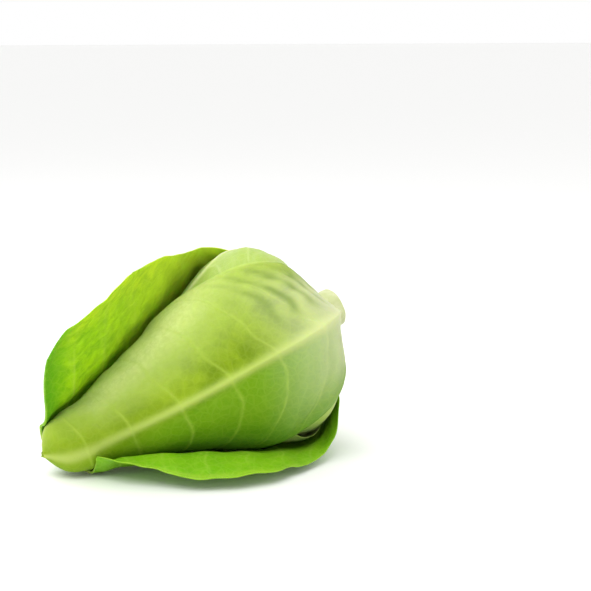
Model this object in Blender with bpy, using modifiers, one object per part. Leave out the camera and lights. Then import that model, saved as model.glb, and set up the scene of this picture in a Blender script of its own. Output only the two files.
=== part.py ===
"""A whole pointed cabbage lying on its side: cut stalk, dense heart, wrapped leaves and two loose outer leaves.

Everything is modelled with the head upright, its base at the origin and its point up +Z, and is then laid on its
flank. Lying, +Z is up, the point faces -X and the cut stalk +X. Metres.
Turns go round the upright head: 0 is the side that will be on top, 90 the far side (+Y), 180 the floor side.
"""

import math
from dataclasses import dataclass
from itertools import product

import bpy
import numpy as np
from mathutils import Matrix, Vector
from mathutils.bvhtree import BVHTree

# Half outline of the heart, from the base to the point: (height, radius).
HEART_OUTLINE = (
    (0.000, 0.0148),
    (0.000, 0.0240),
    (0.003, 0.0390),
    (0.010, 0.0540),
    (0.024, 0.0645),
    (0.038, 0.0640),
    (0.055, 0.0565),
    (0.080, 0.0430),
    (0.112, 0.0280),
    (0.146, 0.0150),
    (0.174, 0.0080),
    (0.191, 0.0050),
    (0.200, 0.0030),
    (0.2035, 0.0014),
    (0.2045, 0.0000),
)
LYING_TILT = math.radians(19.5)  # lying, the point droops by this much, so that the flank is on the floor
LAID = Matrix.Rotation(-math.pi / 2 - LYING_TILT, 4, "Y")
PRESSED = 0.0009  # the lowest leaf is pressed flat by this much where it rests

BLADE = 0.0012  # thickness of a leaf between its veins
GAP = 0.0003  # between one leaf and the next
VEIN = 0.0006  # how far a side vein stands out of the blade
MOST_WRAP = math.radians(158)  # a tight leaf never goes further round than this, each way

STUMP_RADIUS = 0.0138
STUMP_CUT = 0.028  # from the heart's base to the cut
CORE_RADIUS = 0.0118  # where the core enters the heart
CORE_LENGTH = 0.098
CORE_POINT = 0.0030
SOCKET_GAP = 0.0004

OPEN_FROM = 0.93  # past this share of the outline, a leaf that stands off runs straight on past the point
OUTLINE_SAMPLES = 400
FAR = 0.25  # further out than any leaf
LEAF_ROWS = 20
LEAF_COLUMNS = (0.04, 0.12, 0.24, 0.38, 0.53, 0.68, 0.84, 1.0)  # share of the half width, each side of the midrib
LAYING_ROUNDS = 10
PUSH = 0.0003  # a stretch of leaf that still crosses another is pushed off it in steps of this
PUSH_ROUNDS = 40
HEART_SEGMENTS = 28
HEART_RINGS = 18
VEIN_LAG = 0.15  # a side vein leaves the midrib this share of the length below the row it ends in


@dataclass
class Leaf:
    name: str
    turn: float  # where its midrib starts, in degrees
    lean: float  # how much further round the midrib has gone at the leaf's end
    half_width: float
    reach: float  # how far up the head it ends, as a share of the outline's length
    foot: float  # half width at the stalk
    rib: float  # how far the midrib stands out, at the foot
    keel: float = 0.0  # how far the blade is creased outwards along its midrib
    wave: float = 0.0  # how far the edge waves
    open: tuple = (False, False)  # whether each half, before and after the midrib, stands off the head
    curve: tuple = (0, 0)  # how an open half bends across, per metre: round the head, or away from it if negative
    halves: tuple = (1, 1)  # how wide each half is, as a share of half_width
    ends: tuple = (0.5, 0.5)  # how blunt each half's end is, from 0 for a point to 1 for a broad round end
    colour: tuple = (0.45, 0.66, 0.16)


LEAVES = (
    Leaf("inner_leaf_1", 103.0, 10, 0.100, 0.90, 0.012, 0.0010, colour=(0.66, 0.80, 0.33)),
    Leaf("inner_leaf_2", -119.5, -8, 0.100, 0.93, 0.012, 0.0010, colour=(0.62, 0.78, 0.30)),
    Leaf("inner_leaf_3", 18.0, 6, 0.104, 0.92, 0.013, 0.0014, colour=(0.58, 0.76, 0.27)),
    Leaf("inner_leaf_4", 155.5, 8, 0.108, 0.94, 0.013, 0.0022, colour=(0.54, 0.73, 0.24)),
    Leaf("front_leaf", -71.0, -37, 0.116, 1.0, 0.015, 0.0056, keel=0.006, colour=(0.60, 0.77, 0.33)),
    Leaf("upper_outer_leaf", 70.5, 4, 0.100, 0.97, 0.016, 0.0056, wave=0.001, open=(True, False),
         curve=(4.5, 0), halves=(1.06, 0.65), ends=(1, 0), colour=(0.34, 0.60, 0.06)),
    Leaf("lower_outer_leaf", -178.0, -2, 0.088, 0.90, 0.016, 0.0040, wave=0.002, open=(True, True),
         curve=(-4.6, -4.0), ends=(0.1, 0.35), colour=(0.30, 0.56, 0.07)),
)

# How a leaf widens: (share of its length, share of its greatest half width, with a pointed and with a blunt end).
LEAF_OUTLINE = ((0.0, 0.0, 0.0), (0.10, 0.14, 0.13), (0.25, 0.46, 0.38), (0.42, 0.82, 0.64), (0.56, 0.98, 0.87),
                (0.68, 0.92, 1.00), (0.80, 0.64, 1.18), (0.90, 0.30, 1.16), (0.97, 0.12, 1.04), (1.0, 0.04, 0.78))


def smooth_outline(points, count):
    """A Catmull-Rom curve through the points, sampled evenly along its length."""
    points = np.array(points)
    ends = (2 * points[0] - points[1], points[-2] * (1, -1))
    path = np.vstack((ends[0], points, ends[1]))
    t = np.linspace(0, 1, 24, endpoint=False)[:, None]
    pieces = []
    for a, b, c, d in zip(path, path[1:], path[2:], path[3:]):
        pieces.append(b + 0.5 * t * (c - a + t * (2 * a - 5 * b + 4 * c - d + t * (3 * (b - c) + d - a))))
    dense = np.vstack((*pieces, points[-1:]))
    lengths = np.concatenate(([0], np.cumsum(np.linalg.norm(np.diff(dense, axis=0), axis=1))))
    even = np.linspace(0, lengths[-1], count)
    return np.stack([np.interp(even, lengths, dense[:, i]) for i in (0, 1)], axis=1)


OUTLINE = smooth_outline(HEART_OUTLINE, OUTLINE_SAMPLES)
OUTLINE_LENGTH = np.linalg.norm(np.diff(OUTLINE, axis=0), axis=1).sum()
SHARES = np.linspace(0, 1, OUTLINE_SAMPLES)
ALONG = np.gradient(OUTLINE, axis=0)
ALONG /= np.linalg.norm(ALONG, axis=1)[:, None]
NORMALS = np.stack((-ALONG[:, 1], ALONG[:, 0]), axis=1)


def sampled(table, share):
    return np.interp(share, SHARES, table[:, 0]), np.interp(share, SHARES, table[:, 1])


def spoke(turn):
    """Unit vectors square to the axis, at these turns."""
    return np.stack((np.cos(turn), np.sin(turn), np.zeros_like(turn)), axis=-1)


def head_normal(share, turn):
    up, out = sampled(NORMALS, share)
    return out[..., None] * spoke(turn) + up[..., None] * np.array((0.0, 0.0, 1.0))


def head_axis(share, turn):
    """Unit vectors up the heart's surface, towards the point."""
    up, out = sampled(ALONG, share)
    return out[..., None] * spoke(turn) + up[..., None] * np.array((0.0, 0.0, 1.0))


def head_point(share, turn, height):
    """The point at a height above the heart's surface."""
    up, out = sampled(OUTLINE, share)
    surface = out[..., None] * spoke(turn) + up[..., None] * np.array((0.0, 0.0, 1.0))
    return surface + np.asarray(height)[..., None] * head_normal(share, turn)


def head_place(points):
    """Share, turn and height of each point: the inverse of head_point."""
    flat = np.stack((points[..., 2], np.hypot(points[..., 0], points[..., 1])), axis=-1)
    away = flat[..., None, :] - OUTLINE
    nearest = np.argmin((away**2).sum(-1), axis=-1)
    height = (np.take_along_axis(away, nearest[..., None, None], -2)[..., 0, :] * NORMALS[nearest]).sum(-1)
    return SHARES[nearest], np.arctan2(points[..., 1], points[..., 0]), height


def smooth_step(t):
    t = np.clip(t, 0, 1)
    return t * t * (3 - 2 * t)


def half_width(leaf, along, half):
    places, pointed, blunt = np.array(LEAF_OUTLINE).T
    widening = np.interp(along, places, pointed + leaf.ends[half] * (blunt - pointed))
    return leaf.foot * (1 - smooth_step(along / 0.5)) + leaf.half_width * leaf.halves[half] * widening


def leaf_places(leaf):
    """For each point of the blade: share of the leaf's length, distance across, and -1 to 1 from edge to edge.
    The rows of points follow the side veins."""
    rows = np.linspace(0, 1, LEAF_ROWS + 1)[:, None]
    rows = 0.5 * rows + 0.5 * smooth_step(rows)  # closer together at the foot and the end
    columns = np.array([-c for c in LEAF_COLUMNS[::-1]] + [0.0] + list(LEAF_COLUMNS))[None, :]
    at_midrib = rows - VEIN_LAG * np.sin(math.pi * rows)
    along = at_midrib + (rows - at_midrib) * np.abs(columns) ** 1.25
    widths = np.where(columns < 0, half_width(leaf, rows, 0), half_width(leaf, rows, 1))
    return along, columns * widths, columns + 0 * rows


def free_blade(leaf, along, across, column):
    """The leaf wrapped round the head, with a half that stands off it bowed across instead."""
    share = np.minimum(leaf.reach * along, 1.02)
    middle_turn = np.radians(leaf.turn + leaf.lean * along**2)
    radius = np.maximum(sampled(OUTLINE, share)[1], 1e-4)
    turn = middle_turn + MOST_WRAP * np.tanh(across / (radius * MOST_WRAP))
    keel = leaf.keel * np.exp(-((across / 0.020) ** 2)) * smooth_step(along / 0.2) * (1 - along**3)
    wrapped = head_point(share, turn, GAP + keel)
    held = np.minimum(share, OPEN_FROM)
    past = ((share - held) * OUTLINE_LENGTH)[..., None] * head_axis(held, middle_turn)
    bowed = head_point(held, middle_turn, np.full_like(share, GAP)) + past
    if any(leaf.open):
        wrapped = wrapped + bowed - head_point(share, middle_turn, np.full_like(share, GAP))
    opening = smooth_step((along - 0.06) / 0.30) * np.where(across < 0, *leaf.open)
    bend = np.abs(across) * np.where(across < 0, *leaf.curve) * (1 + 0.4 * smooth_step((along - 0.6) / 0.4))
    wave = leaf.wave * np.sin(along * 15 + 2 * np.sign(across)) * np.abs(column) ** 3
    drop = np.abs(across) * np.sin(bend / 2) * np.sinc(bend / 2 / math.pi) - wave
    sideways = across * np.sinc(bend / math.pi)
    bowed = bowed + sideways[..., None] * spoke(middle_turn + math.pi / 2)
    bowed = bowed - drop[..., None] * head_normal(held, middle_turn)
    return wrapped + opening[..., None] * (bowed - wrapped)


def outermost(share, turn, beneath):
    """How high above the heart's surface the outermost thing lies, at each place."""
    starts = head_point(share, turn, np.full_like(share, FAR))
    directions = -head_normal(share, turn)
    heights = np.full(share.shape, -FAR)
    for index in np.ndindex(share.shape):
        distance = beneath.ray_cast(Vector(starts[index]), Vector(directions[index]), 2 * FAR)[3]
        if distance is not None:
            heights[index] = FAR - distance
    return heights


def sheet_faces(rows, columns):
    """Triangles of a sheet, over a grid of points listed row by row. The two halves of a leaf are split alike."""
    faces = []
    for i, j in product(range(rows - 1), range(columns - 1)):
        a, b = i * columns + j, i * columns + j + 1
        c, d = b + columns, a + columns
        if j < columns // 2:
            faces += [(a, b, d), (b, c, d)]
        else:
            faces += [(a, b, c), (a, c, d)]
    return faces


def neighbour_mean(values):
    padded = np.pad(values, 1, mode="edge")
    return (padded[:-2, 1:-1] + padded[2:, 1:-1] + padded[1:-1, :-2] + padded[1:-1, 2:]) / 4


def lay_over(points, beneath):
    """Lift the grid of points off the head until the blade clears all that lies beneath it."""
    share, turn, _ = head_place(points)
    outwards = head_normal(share, turn)
    lift = np.zeros(points.shape[:2])
    for count in range(LAYING_ROUNDS):
        if count < LAYING_ROUNDS - 6:
            lift = 0.4 * lift + 0.6 * neighbour_mean(lift)
        lifted = points + lift[..., None] * outwards
        more = np.zeros_like(lift)
        for p, q in product((0.0, 0.34, 0.67), repeat=2):
            low = lifted[:-1, :-1] * (1 - q) + lifted[:-1, 1:] * q
            high = lifted[1:, :-1] * (1 - q) + lifted[1:, 1:] * q
            share, turn, height = head_place(low * (1 - p) + high * p)
            short = np.maximum(outermost(share, turn, beneath) + GAP - height, 0)
            for i, j in product((0, 1), repeat=2):
                corner = more[i : i + short.shape[0], j : j + short.shape[1]]
                np.maximum(corner, short, out=corner)
        lift = lift + more
    faces = sheet_faces(*lift.shape)
    for _ in range(PUSH_ROUNDS):
        sheet = points + (lift - GAP)[..., None] * outwards
        crossing = BVHTree.FromPolygons(sheet.reshape(-1, 3).tolist(), faces).overlap(beneath)
        if not crossing:
            break
        lift.ravel()[sorted({corner for own, _ in crossing for corner in faces[own]})] += PUSH
    return points + lift[..., None] * outwards


def settled(points, wall):
    """Whatever hangs lower than the midrib is lifted level with it, so that the leaf lies on the floor."""
    up = np.array(LAID.transposed() @ Vector((0, 0, 1)))
    height = points @ up - wall
    floor = height[:, height.shape[1] // 2].min()
    return points + np.maximum(floor - height, 0)[..., None] * up


def material(name, colour, roughness):
    made = bpy.data.materials.new(name)
    made.use_nodes = True
    shader = made.node_tree.nodes["Principled BSDF"]
    shader.inputs["Base Color"].default_value = (*colour, 1.0)
    shader.inputs["Roughness"].default_value = roughness
    made.diffuse_color = (*colour, 1.0)
    return made


def collection(name):
    made = bpy.data.collections.new(name)
    bpy.context.scene.collection.children.link(made)
    return made


def turned(name, outline, home):
    """A solid turned round the Z axis from (height, radius) points, top first."""
    mesh = bpy.data.meshes.new(name)
    mesh.from_pydata([(radius, 0, height) for height, radius in outline],
                     [(i, i + 1) for i in range(len(outline) - 1)], [])
    made = bpy.data.objects.new(name, mesh)
    home.objects.link(made)
    screw = made.modifiers.new("turn", "SCREW")
    screw.steps = screw.render_steps = HEART_SEGMENTS
    screw.use_merge_vertices = True
    screw.merge_threshold = 1e-5
    screw.use_smooth_shade = True
    return made


def make_stalk(home):
    outline = ((CORE_LENGTH, 0.0), (CORE_LENGTH - 0.002, CORE_POINT), (0.002, CORE_RADIUS),
               (-0.002, CORE_RADIUS), (-0.005, STUMP_RADIUS), (0.0015 - STUMP_CUT, STUMP_RADIUS),
               (-STUMP_CUT, STUMP_RADIUS - 0.0015), (-STUMP_CUT, 0.0))
    stalk = turned("stalk", outline, home)
    stalk.data.materials.append(material("stalk", (0.78, 0.84, 0.60), 0.5))


def make_heart(home, cutters):
    rings = np.linspace(0, 1, HEART_RINGS + 1)[::-1]
    heights, radii = sampled(OUTLINE, rings)
    radii[0] = 0
    outline = list(zip(heights, radii)) + [(0.0, 0.0)]
    heart = turned("heart", outline, home)
    heart.data.materials.append(material("heart", (0.70, 0.82, 0.36), 0.5))
    top = CORE_LENGTH + SOCKET_GAP
    socket_outline = ((top, 0.0), (top - 0.002, CORE_POINT + SOCKET_GAP), (0.002, CORE_RADIUS + SOCKET_GAP),
                      (-0.01, CORE_RADIUS + SOCKET_GAP), (-0.01, 0.0))
    socket = turned("core_socket", socket_outline, cutters)
    socket.hide_render = True
    socket.display_type = "WIRE"
    cut = heart.modifiers.new("core socket", "BOOLEAN")
    cut.operation = "DIFFERENCE"
    cut.solver = "EXACT"
    cut.object = socket
    return heart


def make_leaf(leaf, home, beneath):
    """A sheet laid over what lies beneath, and thickened outwards. The midrib and veins are a thicker wall."""
    along, across, column = leaf_places(leaf)
    rib_height = leaf.rib * (1 - along) ** 1.2 + 0.0006 * (1 - along)
    rib_width = 0.0022 + (0.55 * leaf.foot - 0.0022) * (1 - along) ** 2.2
    on_vein = (np.arange(LEAF_ROWS + 1) % 2 == 0)[:, None] & (np.arange(LEAF_ROWS + 1) > 0)[:, None]
    wall = BLADE + rib_height * np.exp(-((across / rib_width) ** 2))
    wall = wall + VEIN * on_vein * (1 - np.abs(column)) ** 0.5
    points = lay_over(free_blade(leaf, along, across, column), beneath)
    if all(leaf.open):
        points = lay_over(settled(points, wall), beneath)
    mesh = bpy.data.meshes.new(leaf.name)
    mesh.from_pydata(points.reshape(-1, 3).tolist(), [], sheet_faces(*along.shape))
    made = bpy.data.objects.new(leaf.name, mesh)
    made.data.materials.append(material(leaf.name, leaf.colour, 0.45))
    home.objects.link(made)
    group = made.vertex_groups.new(name="wall")
    for index, thickness in enumerate(wall.ravel()):
        group.add([index], float(thickness / wall.max()), "REPLACE")
    thicken = made.modifiers.new("wall", "SOLIDIFY")
    thicken.thickness = wall.max()
    thicken.offset = 1.0
    thicken.vertex_group = "wall"
    return made


def finished(objects):
    """Corners and faces of these solids with their modifiers applied, as one list each."""
    depsgraph = bpy.context.evaluated_depsgraph_get()
    corners = []
    faces = []
    for made in objects:
        mesh = made.evaluated_get(depsgraph).to_mesh()
        faces += [[len(corners) + index for index in face.vertices] for face in mesh.polygons]
        corners += [vert.co.copy() for vert in mesh.vertices]
    return corners, faces


def lay_down(home, cutters):
    """Turn the head onto its flank, with the middle of its footprint at the origin."""
    corners = np.array([LAID @ corner for corner in finished(home.objects)[0]])
    low, high = corners.min(axis=0), corners.max(axis=0)
    shift = Vector((-(low[0] + high[0]) / 2, -(low[1] + high[1]) / 2, -low[2] - PRESSED))
    for made in list(home.objects) + list(cutters.objects):
        made.matrix_world = Matrix.Translation(shift) @ LAID


def press_flat(leaf, cutters):
    """Flatten the lowest leaf where it rests on the floor."""
    bpy.ops.mesh.primitive_cube_add(size=1.0, location=(0, 0, -0.05))
    floor = bpy.context.object
    floor.name = "floor_cut"
    floor.scale = (0.5, 0.5, 0.1)
    floor.hide_render = True
    floor.display_type = "WIRE"
    for owner in list(floor.users_collection):
        owner.objects.unlink(floor)
    cutters.objects.link(floor)
    cut = leaf.modifiers.new("floor", "BOOLEAN")
    cut.operation = "DIFFERENCE"
    cut.solver = "EXACT"
    cut.object = floor


def build():
    for old in list(bpy.data.objects):
        bpy.data.objects.remove(old)
    home = collection("pointed_cabbage")
    cutters = collection("cutters")
    make_stalk(home)
    make_heart(home, cutters)
    for leaf in LEAVES:
        made = make_leaf(leaf, home, BVHTree.FromPolygons(*finished(home.objects)))
    lay_down(home, cutters)
    press_flat(made, cutters)


build()
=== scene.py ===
import math
from itertools import product

import bpy
import numpy as np
from mathutils import Matrix, Vector, noise
from mathutils.bvhtree import BVHTree


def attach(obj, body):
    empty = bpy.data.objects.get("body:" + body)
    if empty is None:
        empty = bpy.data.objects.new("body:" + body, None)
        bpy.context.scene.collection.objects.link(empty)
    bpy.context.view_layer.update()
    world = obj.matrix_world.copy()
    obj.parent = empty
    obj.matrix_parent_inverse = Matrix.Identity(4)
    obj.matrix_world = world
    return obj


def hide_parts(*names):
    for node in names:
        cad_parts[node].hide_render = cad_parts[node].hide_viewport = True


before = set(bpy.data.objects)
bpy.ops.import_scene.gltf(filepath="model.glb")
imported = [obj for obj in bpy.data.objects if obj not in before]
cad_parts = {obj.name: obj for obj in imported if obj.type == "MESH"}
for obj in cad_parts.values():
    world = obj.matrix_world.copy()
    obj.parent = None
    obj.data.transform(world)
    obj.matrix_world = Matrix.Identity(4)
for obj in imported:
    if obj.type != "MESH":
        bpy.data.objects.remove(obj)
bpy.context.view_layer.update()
bpy.ops.object.select_all(action="DESELECT")
print("frame loaded")

# The head is worked out standing on its base, point up, and laid on its flank at the end. Metres.
# Turns go round it: 0 is the side that ends on top, -90 the one towards the camera, 180 the floor side.

head = {
    "outline": ((0.000, 0.0148), (0.000, 0.0240), (0.003, 0.0390), (0.010, 0.0540), (0.024, 0.0645),
                (0.038, 0.0640), (0.055, 0.0565), (0.080, 0.0430), (0.112, 0.0280), (0.146, 0.0150),
                (0.174, 0.0080), (0.191, 0.0050), (0.200, 0.0030), (0.2035, 0.0014), (0.2045, 0.0000)),
    "spanSteps": 24,  # from one point of the outline to the next
    "samples": 400,
    "place": (0.088768, 0.000426, 0.086004),  # where the middle of its base ends up
    "tilt": 19.5,  # how far the point droops, lying
    "gap": 0.0003,  # between one leaf and the next
    "far": 0.25,  # well outside every leaf
}

laidDown = Matrix.Rotation(-math.pi / 2 - math.radians(head["tilt"]), 4, "Y")
upright = Matrix.Translation(head["place"]) @ laidDown  # takes the standing head to where it lies


def smoothOutline(points, count):  # a smooth curve through the points, sampled evenly
    points = np.array(points)
    path = np.vstack((2 * points[0] - points[1], points, points[-2] * (1, -1)))
    t = np.linspace(0, 1, head["spanSteps"], endpoint=False)[:, None]
    spans = []
    for a, b, c, d in zip(path, path[1:], path[2:], path[3:]):
        spans.append(b + 0.5 * t * (c - a + t * (2 * a - 5 * b + 4 * c - d + t * (3 * (b - c) + d - a))))
    dense = np.vstack((*spans, points[-1:]))
    lengths = np.concatenate(([0], np.cumsum(np.linalg.norm(np.diff(dense, axis=0), axis=1))))
    even = np.linspace(0, lengths[-1], count)
    return np.stack([np.interp(even, lengths, dense[:, i]) for i in (0, 1)], axis=1)


outline = smoothOutline(head["outline"], head["samples"])
outlineLength = np.linalg.norm(np.diff(outline, axis=0), axis=1).sum()
shares = np.linspace(0, 1, head["samples"])
uphill = np.gradient(outline, axis=0)
uphill /= np.linalg.norm(uphill, axis=1)[:, None]
outward = np.stack((-uphill[:, 1], uphill[:, 0]), axis=1)


def sampled(curve, share):
    return np.interp(share, shares, curve[:, 0]), np.interp(share, shares, curve[:, 1])


def spoke(turn):
    return np.stack((np.cos(turn), np.sin(turn), np.zeros_like(turn)), axis=-1)


def onHead(curve, share, turn):  # a point or a direction of the head's outline, swung round to the turn
    up, out = sampled(curve, share)
    return out[..., None] * spoke(turn) + up[..., None] * np.array((0.0, 0.0, 1.0))


def headPoint(share, turn, height):
    return onHead(outline, share, turn) + np.asarray(height)[..., None] * onHead(outward, share, turn)


def headPlace(points):  # share, turn and height of each point
    flat = np.stack((points[..., 2], np.hypot(points[..., 0], points[..., 1])), axis=-1)
    away = flat[..., None, :] - outline
    nearest = np.argmin((away**2).sum(-1), axis=-1)
    height = (np.take_along_axis(away, nearest[..., None, None], -2)[..., 0, :] * outward[nearest]).sum(-1)
    return shares[nearest], np.arctan2(points[..., 1], points[..., 0]), height


def smoothStep(t):
    t = np.clip(t, 0, 1)
    return t * t * (3 - 2 * t)


leafShape = {  # what all leaves share
    "outline": ((0.0, 0.0, 0.0), (0.10, 0.14, 0.13), (0.25, 0.46, 0.38), (0.42, 0.82, 0.64),
                (0.56, 0.98, 0.87), (0.68, 0.92, 1.00), (0.80, 0.64, 1.18), (0.90, 0.30, 1.16),
                (0.97, 0.12, 1.04), (1.0, 0.04, 0.78)),  # share of the length, width if pointed, if blunt
    "footTo": 0.5,  # the foot's own width has faded by this share of the length
    "blade": 0.0012,  # thickness
    "veinLag": 0.15,  # side veins leave the midrib up to this far below where they meet the edge
    "veinCurve": 1.25,
    "mostReach": 1.02,
    "mostWrap": math.radians(158),
    "leastRadius": 0.0001,
    "keelWidth": 0.020,
    "keelFrom": 0.2,
    "straightFrom": 0.93,  # a leaf that stands off runs straight on past this share of the outline
    "openFrom": 0.06,
    "openOver": 0.30,
    "curlFrom": 0.6,  # it curls more towards its tip
    "curlOver": 0.4,
    "curlMore": 0.4,
    "waves": 15,
}


def halfWidth(leaf, along, half):
    places, pointed, blunt = np.array(leafShape["outline"]).T
    widening = np.interp(along, places, pointed + leaf["ends"][half] * (blunt - pointed))
    footWidth = leaf["foot"] * (1 - smoothStep(along / leafShape["footTo"]))
    return footWidth + leaf["halfWidth"] * leaf["halves"][half] * widening


def leafPlaces(leaf, rows, columns):  # share of the length, and distance across; rows follow the side veins
    atMidrib = rows - leafShape["veinLag"] * np.sin(math.pi * rows)
    along = atMidrib + (rows - atMidrib) * np.abs(columns) ** leafShape["veinCurve"]
    return along, columns * np.where(columns < 0, halfWidth(leaf, rows, 0), halfWidth(leaf, rows, 1))


def wrappedBlade(leaf, along, across, share, middleTurn):  # bent round the head, with its keel standing off
    radius = np.maximum(sampled(outline, share)[1], leafShape["leastRadius"])
    turn = middleTurn + leafShape["mostWrap"] * np.tanh(across / (radius * leafShape["mostWrap"]))
    keel = leaf["keel"] * np.exp(-((across / leafShape["keelWidth"]) ** 2))
    keel = keel * smoothStep(along / leafShape["keelFrom"]) * (1 - along**3)
    return headPoint(share, turn, head["gap"] + keel)


def bow(leaf, along, across, column):  # how far sideways and how far down a bend across the midrib leads
    curl = 1 + leafShape["curlMore"] * smoothStep((along - leafShape["curlFrom"]) / leafShape["curlOver"])
    bend = np.abs(across) * np.where(across < 0, *leaf["curve"]) * curl
    wave = leaf["wave"] * np.sin(along * leafShape["waves"] + 2 * np.sign(across)) * np.abs(column) ** 3
    drop = np.abs(across) * np.sin(bend / 2) * np.sinc(bend / 2 / math.pi) - wave
    return across * np.sinc(bend / math.pi), drop


def freeBlade(leaf, along, across, column):  # wrapped round the head, or bowed where it stands off it
    share = np.minimum(leaf["reach"] * along, leafShape["mostReach"])
    middleTurn = np.radians(leaf["turn"] + leaf["lean"] * along**2)
    wrapped = wrappedBlade(leaf, along, across, share, middleTurn)
    held = np.minimum(share, leafShape["straightFrom"])
    past = ((share - held) * outlineLength)[..., None] * onHead(uphill, held, middleTurn)
    level = np.full_like(share, head["gap"])
    straight = headPoint(held, middleTurn, level) + past
    if any(leaf["open"]):
        wrapped = wrapped + straight - headPoint(share, middleTurn, level)
    sideways, drop = bow(leaf, along, across, column)
    bowed = straight + sideways[..., None] * spoke(middleTurn + math.pi / 2)
    bowed = bowed - drop[..., None] * onHead(outward, held, middleTurn)
    opening = smoothStep((along - leafShape["openFrom"]) / leafShape["openOver"])
    opening = opening * np.where(across < 0, *leaf["open"])
    return wrapped + opening[..., None] * (bowed - wrapped)


coarse = {  # the sheet that a leaf is laid with, like its CAD node's
    "rows": 20,
    "columns": (0.04, 0.12, 0.24, 0.38, 0.53, 0.68, 0.84, 1.0),  # from the midrib to the edge
    "rounds": 10,
    "easyRounds": 4,  # the lift is smoothed in these
    "easing": (0.4, 0.6),
    "probes": (0.0, 0.34, 0.67),
    "pushes": 40,
    "push": 0.0003,
}


def outermost(share, turn, beneath):  # how high above the heart the outermost thing lies, at each place
    starts = headPoint(share, turn, np.full_like(share, head["far"]))
    directions = -onHead(outward, share, turn)
    heights = np.full(share.shape, -head["far"])
    for index in np.ndindex(share.shape):
        distance = beneath.ray_cast(Vector(starts[index]), Vector(directions[index]), 2 * head["far"])[3]
        if distance is not None:
            heights[index] = head["far"] - distance
    return heights


def neighbourMean(values):
    padded = np.pad(values, 1, mode="edge")
    return (padded[:-2, 1:-1] + padded[2:, 1:-1] + padded[1:-1, :-2] + padded[1:-1, 2:]) / 4


def sheetFaces(rows, columns):
    faces = []
    for i, j in product(range(rows - 1), range(columns - 1)):
        a, b = i * columns + j, i * columns + j + 1
        c, d = b + columns, a + columns
        faces += [(a, b, d), (b, c, d)] if j < columns // 2 else [(a, b, c), (a, c, d)]
    return faces


def liftNeeded(points, beneath):  # how far each corner has to rise for the cells round it to lie clear
    needed = np.zeros(points.shape[:2])
    for p, q in product(coarse["probes"], repeat=2):
        low = points[:-1, :-1] * (1 - q) + points[:-1, 1:] * q
        high = points[1:, :-1] * (1 - q) + points[1:, 1:] * q
        share, turn, height = headPlace(low * (1 - p) + high * p)
        short = np.maximum(outermost(share, turn, beneath) + head["gap"] - height, 0)
        for i, j in product((0, 1), repeat=2):
            corner = needed[i : i + short.shape[0], j : j + short.shape[1]]
            np.maximum(corner, short, out=corner)
    return needed


def pushedOff(points, lift, outwards, beneath):  # the lift that ends what still crosses the things beneath
    faces = sheetFaces(*lift.shape)
    for _ in range(coarse["pushes"]):
        sheet = points + (lift - head["gap"])[..., None] * outwards
        crossing = BVHTree.FromPolygons(sheet.reshape(-1, 3).tolist(), faces).overlap(beneath)
        if not crossing:
            break
        lift.ravel()[sorted({corner for own, _ in crossing for corner in faces[own]})] += coarse["push"]
    return lift


def layOver(points, beneath):  # lifts the sheet off the head until it clears what lies beneath it
    share, turn, _ = headPlace(points)
    outwards = onHead(outward, share, turn)
    lift = np.zeros(points.shape[:2])
    for count in range(coarse["rounds"]):
        if count < coarse["easyRounds"]:
            lift = coarse["easing"][0] * lift + coarse["easing"][1] * neighbourMean(lift)
        lift = lift + liftNeeded(points + lift[..., None] * outwards, beneath)
    return points + pushedOff(points, lift, outwards, beneath)[..., None] * outwards


def settled(points, wall):  # what hangs lower than the midrib is lifted level with it, onto the floor
    up = np.array(upright.to_3x3().transposed() @ Vector((0, 0, 1)))
    height = points @ up - wall
    floor = height[:, height.shape[1] // 2].min()
    return points + np.maximum(floor - height, 0)[..., None] * up


def hermite(knots, places):  # the knots that each place lies between, and what their values and slopes weigh
    index = np.clip(np.searchsorted(knots, places, side="right") - 1, 0, len(knots) - 2)
    step = knots[index + 1] - knots[index]
    t = (places - knots[index]) / step
    values = ((1 + 2 * t) * (1 - t) ** 2, t * t * (3 - 2 * t))
    slopes = (t * (1 - t) ** 2 * step, t * t * (t - 1) * step)
    return index, values, slopes


def refined(grid, rowKnots, columnKnots, rowPlaces, columnPlaces):  # the smooth surface through a coarse grid
    alongSlope = np.gradient(grid, rowKnots, axis=0)
    acrossSlope = np.gradient(grid, columnKnots, axis=1)
    bothSlope = np.gradient(alongSlope, columnKnots, axis=1)
    i, rowValue, rowSlope = hermite(rowKnots, rowPlaces)
    j, columnValue, columnSlope = hermite(columnKnots, columnPlaces)
    surface = 0
    for p, q in product((0, 1), repeat=2):
        surface = surface + (rowValue[p] * columnValue[q])[..., None] * grid[i + p, j + q]
        surface = surface + (rowSlope[p] * columnValue[q])[..., None] * alongSlope[i + p, j + q]
        surface = surface + (rowValue[p] * columnSlope[q])[..., None] * acrossSlope[i + p, j + q]
        surface = surface + (rowSlope[p] * columnSlope[q])[..., None] * bothSlope[i + p, j + q]
    return surface


def noisy(points, size, seed):  # smooth noise from -1 to 1 over the points
    values = [noise.noise(Vector(point) / size + Vector((seed, 0, 0))) for point in points.reshape(-1, 3)]
    return np.array(values).reshape(points.shape[:-1])


def sheetNormals(points):
    normals = np.cross(np.gradient(points, axis=1), np.gradient(points, axis=0))
    return normals / np.maximum(np.linalg.norm(normals, axis=-1), 1e-12)[..., None]


def meshTree(pieceMesh):  # a finished piece, stood upright
    stood = upright.inverted()
    corners = [stood @ vert.co for vert in pieceMesh.vertices]
    return BVHTree.FromPolygons(corners, [tuple(face.vertices) for face in pieceMesh.polygons])


def cadTree(names):  # the CAD nodes of these names as one tree, stood upright
    corners, faces = [], []
    for name in names:
        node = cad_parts[name]
        stood = upright.inverted() @ node.matrix_world
        faces += [[len(corners) + index for index in face.vertices] for face in node.data.polygons]
        corners += [stood @ vert.co for vert in node.data.vertices]
    return BVHTree.FromPolygons(corners, faces)


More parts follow.
